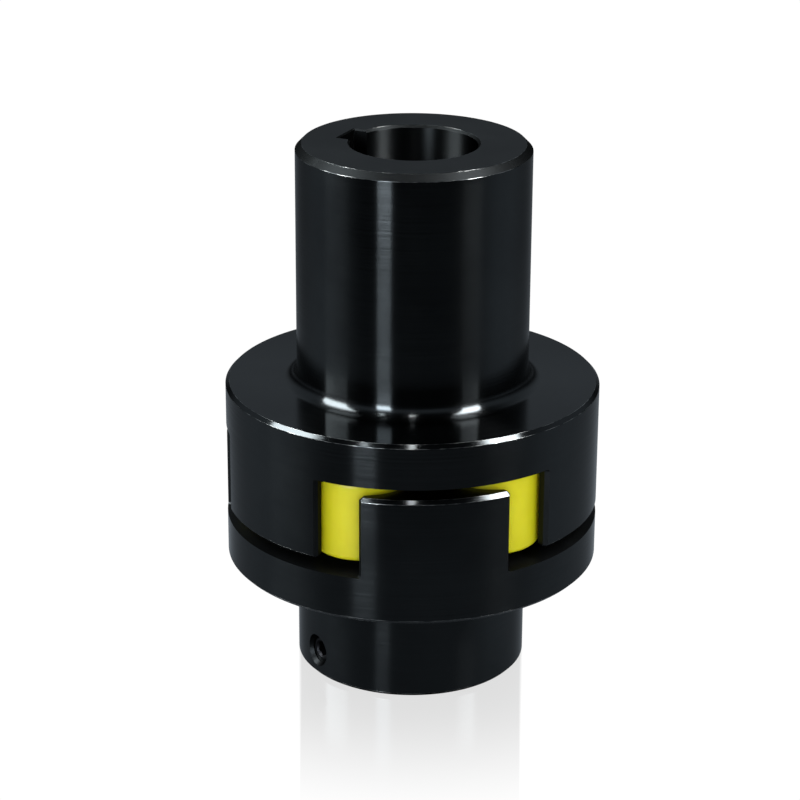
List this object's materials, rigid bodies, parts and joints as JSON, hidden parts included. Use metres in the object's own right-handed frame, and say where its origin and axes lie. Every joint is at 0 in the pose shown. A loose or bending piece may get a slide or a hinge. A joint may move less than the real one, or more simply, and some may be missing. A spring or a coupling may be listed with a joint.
{
  "type": "jaw coupling",
  "caption": "Jaw coupling for keyed shafts: a long and a short blackened steel hub with interleaved jaws, a lobed yellow elastomer spider between them and a set screw over each keyway.",
  "frame": {"origin": "on the coupling's axis, at the short hub's end face", "axes": "+Z along the axis from the short hub to the long hub; one of the short hub's jaws is centred on -Y"},
  "size_m": [0.105, 0.105, 0.152],
  "materials": {
    "hub_steel": "blackened turned steel, glossy with fine turning marks",
    "spider_elastomer": "moulded polyurethane, satin",
    "screw_steel": "blackened alloy steel, satin"
  },
  "bodies": {
    "short_hub": {"short_hub": "hub_steel"},
    "spider": {"spider": "spider_elastomer"},
    "long_hub": {"long_hub": "hub_steel"},
    "short_hub_set_screw": {"short_hub_set_screw": "screw_steel"},
    "long_hub_set_screw": {"long_hub_set_screw": "screw_steel"}
  },
  "joints": [
    {"name": "torsion", "type": "hinge", "parent": "short_hub", "child": "spider", "pos_m": [0, 0, 0.0582], "axis": [0, 0, 1], "range_deg": [-2.5, 2.5], "stiffness_Nm_per_rad": 2000, "deforming": ["spider"]},
    {"name": "pull_apart", "type": "slide", "parent": "spider", "child": "long_hub", "axis": [0, 0, 1], "range_m": [-0.0005, 0.03]},
    {"name": "short_hub_screw_travel", "type": "slide", "parent": "short_hub", "child": "short_hub_set_screw", "axis": [-0.887, -0.4618, 0], "range_m": [-0.0025, 0.0125]},
    {"name": "long_hub_screw_travel", "type": "slide", "parent": "long_hub", "child": "long_hub_set_screw", "axis": [-0.8434, 0.5373, 0], "range_m": [-0.0025, 0.0125]}
  ]
}
